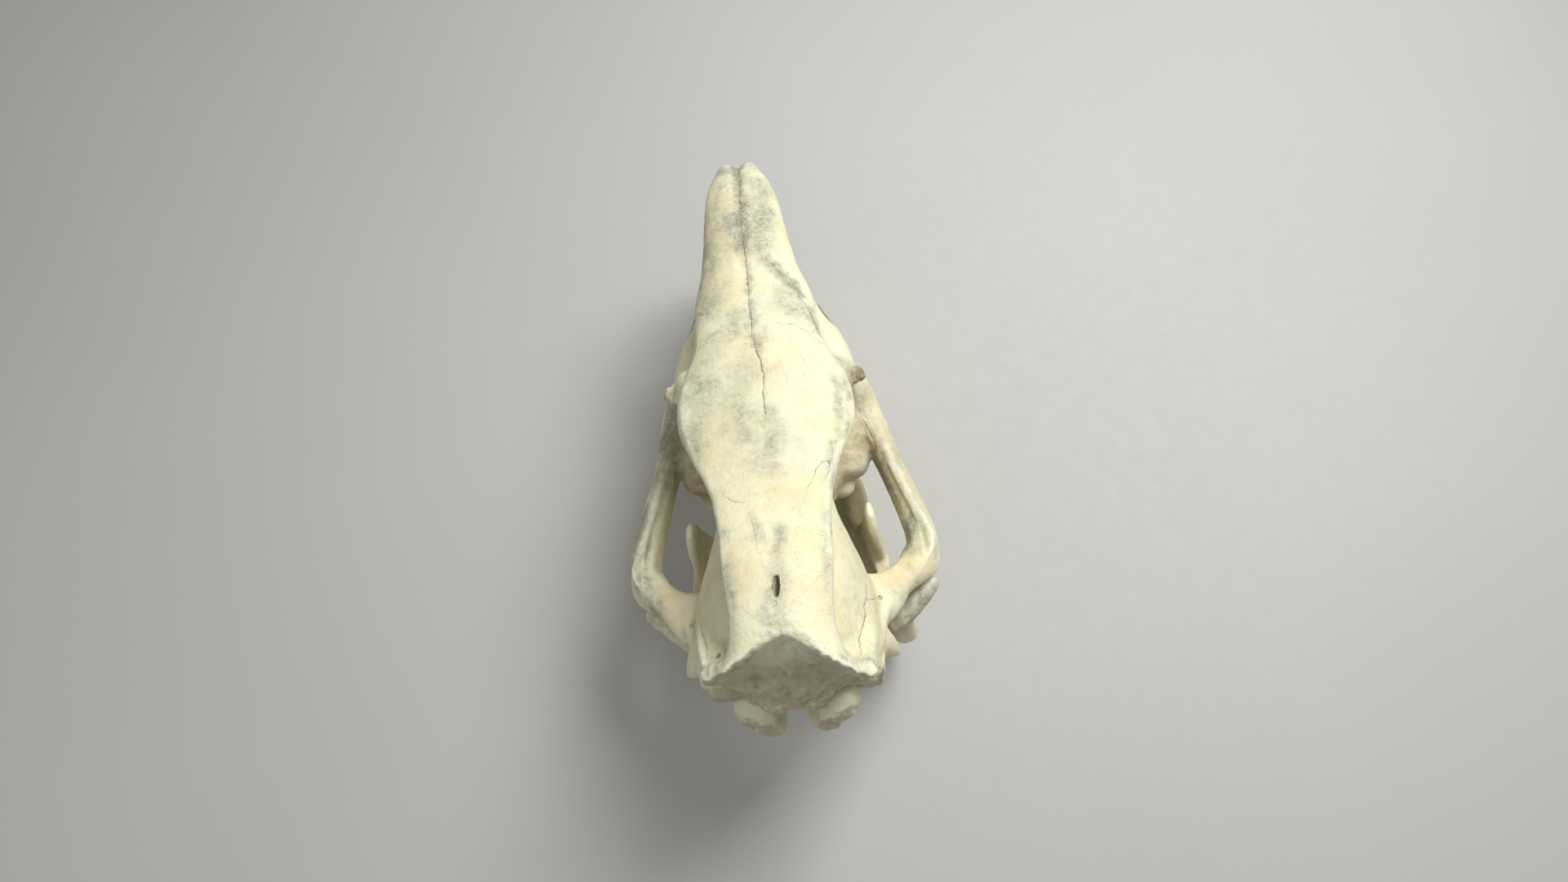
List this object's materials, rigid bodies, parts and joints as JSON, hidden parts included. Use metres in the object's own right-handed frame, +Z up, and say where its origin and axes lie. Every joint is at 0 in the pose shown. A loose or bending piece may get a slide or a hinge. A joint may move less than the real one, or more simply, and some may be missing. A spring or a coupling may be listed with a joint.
{
  "type": "rhinoceros skull",
  "caption": "Life-size skull and lower jaw of a young hornless rhinoceros, parted along planes near its sutures, standing on its lower jaw.",
  "frame": {"origin": "middle of the bounding box's bottom face, on the surface that the lower jaw stands on", "axes": "+X to the skull's own right, +Y towards the tip of the nose, +Z up"},
  "size_m": [0.2956, 0.5632, 0.3646],
  "materials": {
    "bone": "dry cream bone with blue-grey stains and fine dark pores",
    "enamel": "ivory tooth enamel with darker worn dentine"
  },
  "bodies": {
    "root": {"nasal_left": "bone", "nasal_right": "bone", "frontal": "bone", "parietal": "bone", "occipital": "bone", "temporal_left": "bone", "temporal_right": "bone", "zygomatic_left": "bone", "zygomatic_right": "bone", "maxilla_left": "bone", "maxilla_right": "bone", "premaxilla_left": "bone", "premaxilla_right": "bone", "skull_base": "bone", "mandible_body_left": "bone", "mandible_body_right": "bone", "mandible_ramus_left": "bone", "mandible_ramus_right": "bone", "mandible_chin": "bone"}
  },
  "joints": []
}
